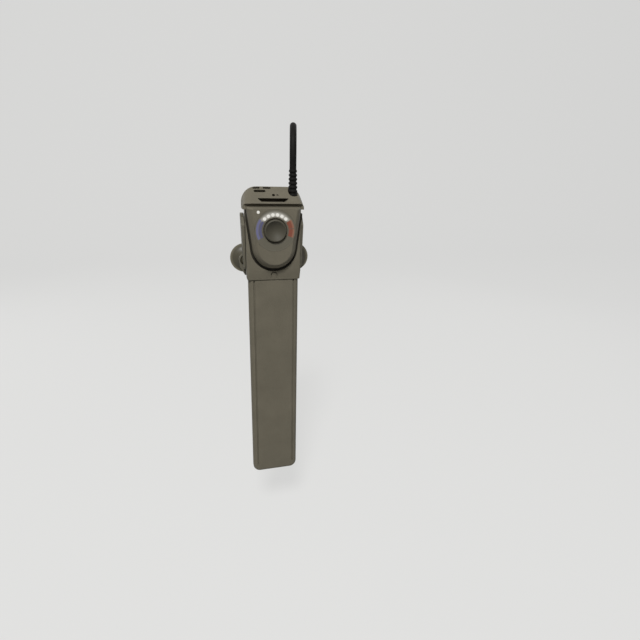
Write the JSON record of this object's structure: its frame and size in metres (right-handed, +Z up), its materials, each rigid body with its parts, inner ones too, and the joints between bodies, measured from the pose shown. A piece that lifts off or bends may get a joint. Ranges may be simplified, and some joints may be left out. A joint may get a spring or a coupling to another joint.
{
  "type": "submersible aquarium heater",
  "caption": "Flat submersible aquarium heater: slim heating blade, control head with lit temperature dial and push button, slide-in holder with suction cups, mains cord.",
  "frame": {"origin": "on the glass pane, midway between the centres of the two suction cups", "axes": "+Z up along the heater, front faces -Y, +Y points into the glass, +X to the right seen from the front"},
  "size_m": [0.0617, 0.0921, 0.2865],
  "materials": {
    "case_plastic": "satin",
    "holder_plastic": "satin",
    "cup_silicone": "smooth translucent",
    "mica": "matte",
    "foil": "matte",
    "filler": "matte",
    "black_rubber": "matte",
    "probe_metal": "satin",
    "wire_red": "satin",
    "board": "satin",
    "screw_steel": "satin",
    "chip_black": "matte",
    "capacitor_yellow": "gloss",
    "lamp_white": "gloss",
    "dial_smoke": "gloss",
    "bar_blue": "gloss",
    "bar_red": "gloss",
    "lamp_clear": "gloss",
    "cord_rubber": "matte",
    "plug_black": "satin",
    "pin_brass": "satin",
    "button_plastic": "satin gloss"
  },
  "bodies": {
    "holder": {"holder": "holder_plastic", "suction_cup_left": "cup_silicone", "suction_cup_right": "cup_silicone"},
    "heater": {"blade_shell": "case_plastic", "mica_front": "mica", "heating_foil": "foil", "mica_back": "mica", "heat_filler": "filler", "sealing_plug": "black_rubber", "thermal_cutout": "probe_metal", "lead_wires": "wire_red", "head_housing": "case_plastic", "temperature_probe": "probe_metal", "cover_gasket": "black_rubber", "circuit_board": "board", "board_screws": "screw_steel", "power_switch": "chip_black", "capacitor": "capacitor_yellow", "controller_chip": "chip_black", "board_lamps": "lamp_white", "switch_body": "chip_black", "front_cover": "case_plastic", "dial_window": "dial_smoke", "blue_bar": "bar_blue", "red_bars": "bar_red", "lamp_lenses": "lamp_clear", "status_lens": "lamp_clear", "button_seal": "black_rubber", "top_cap": "case_plastic", "strain_relief": "cord_rubber", "inner_cord": "cord_rubber", "cord": "cord_rubber", "cord_hank": "cord_rubber", "cord_tail": "cord_rubber", "cord_tie": "black_rubber", "plug_body": "plug_black", "plug_pins": "pin_brass"},
    "button": {"button": "button_plastic", "switch_plunger": "wire_red"}
  },
  "joints": [
    {"name": "heater_lift", "type": "slide", "parent": "holder", "child": "heater", "axis": [0, 0, 1], "range_m": [0, 0.03]},
    {"name": "button_press", "type": "slide", "parent": "heater", "child": "button", "axis": [0, 1, 0], "range_m": [0, 0.0008], "stiffness_N_per_m": 900, "springref_m": -0.001}
  ]
}
